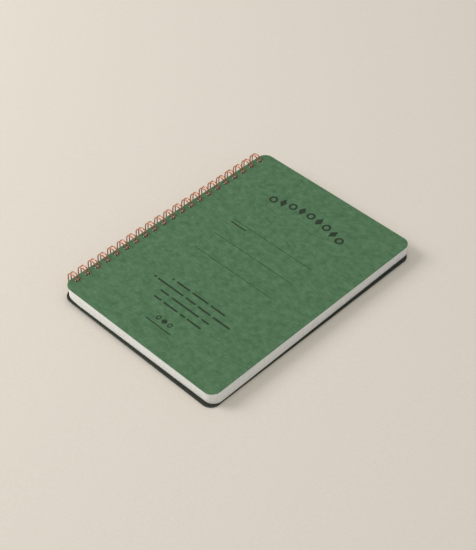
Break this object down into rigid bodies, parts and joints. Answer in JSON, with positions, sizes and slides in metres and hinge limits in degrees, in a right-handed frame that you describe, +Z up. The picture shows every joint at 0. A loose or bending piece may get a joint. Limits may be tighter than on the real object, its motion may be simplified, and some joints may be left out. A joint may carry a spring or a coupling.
{
  "type": "spiral notebook",
  "caption": "Thick notebook lying flat, bound along its long side by a twin-loop wire, with round corners and two covers that open.",
  "frame": {"origin": "middle of the bounding box, at the level of the lowest point of the wire loops", "axes": "+X from the wire to the fore edge, +Y along the wire to the top edge, +Z up out of the front cover"},
  "size_m": [0.1556, 0.213, 0.0173],
  "materials": {
    "green_pressboard": "matt, mottled with fibres",
    "white_paper": "uncoated writing paper",
    "cream_paper": "uncoated, folded and glued",
    "dark_board": "matt stiff board",
    "copper_wire": "copper coloured coating, satin"
  },
  "bodies": {
    "book": {"page_block": "white_paper", "paper_pocket": "cream_paper", "twin_loop_wire": "copper_wire"},
    "front": {"front_cover": "green_pressboard"},
    "rear": {"rear_cover": "dark_board"}
  },
  "joints": [
    {"name": "front_cover_hinge", "type": "hinge", "parent": "book", "child": "front", "pos_m": [-0.07238, 0, 0.0119], "axis": [0, -1, 0], "range_deg": [0, 180]},
    {"name": "rear_cover_hinge", "type": "hinge", "parent": "book", "child": "rear", "pos_m": [-0.0728, 0, 0.00502], "axis": [0, 1, 0], "range_deg": [0, 180]}
  ]
}
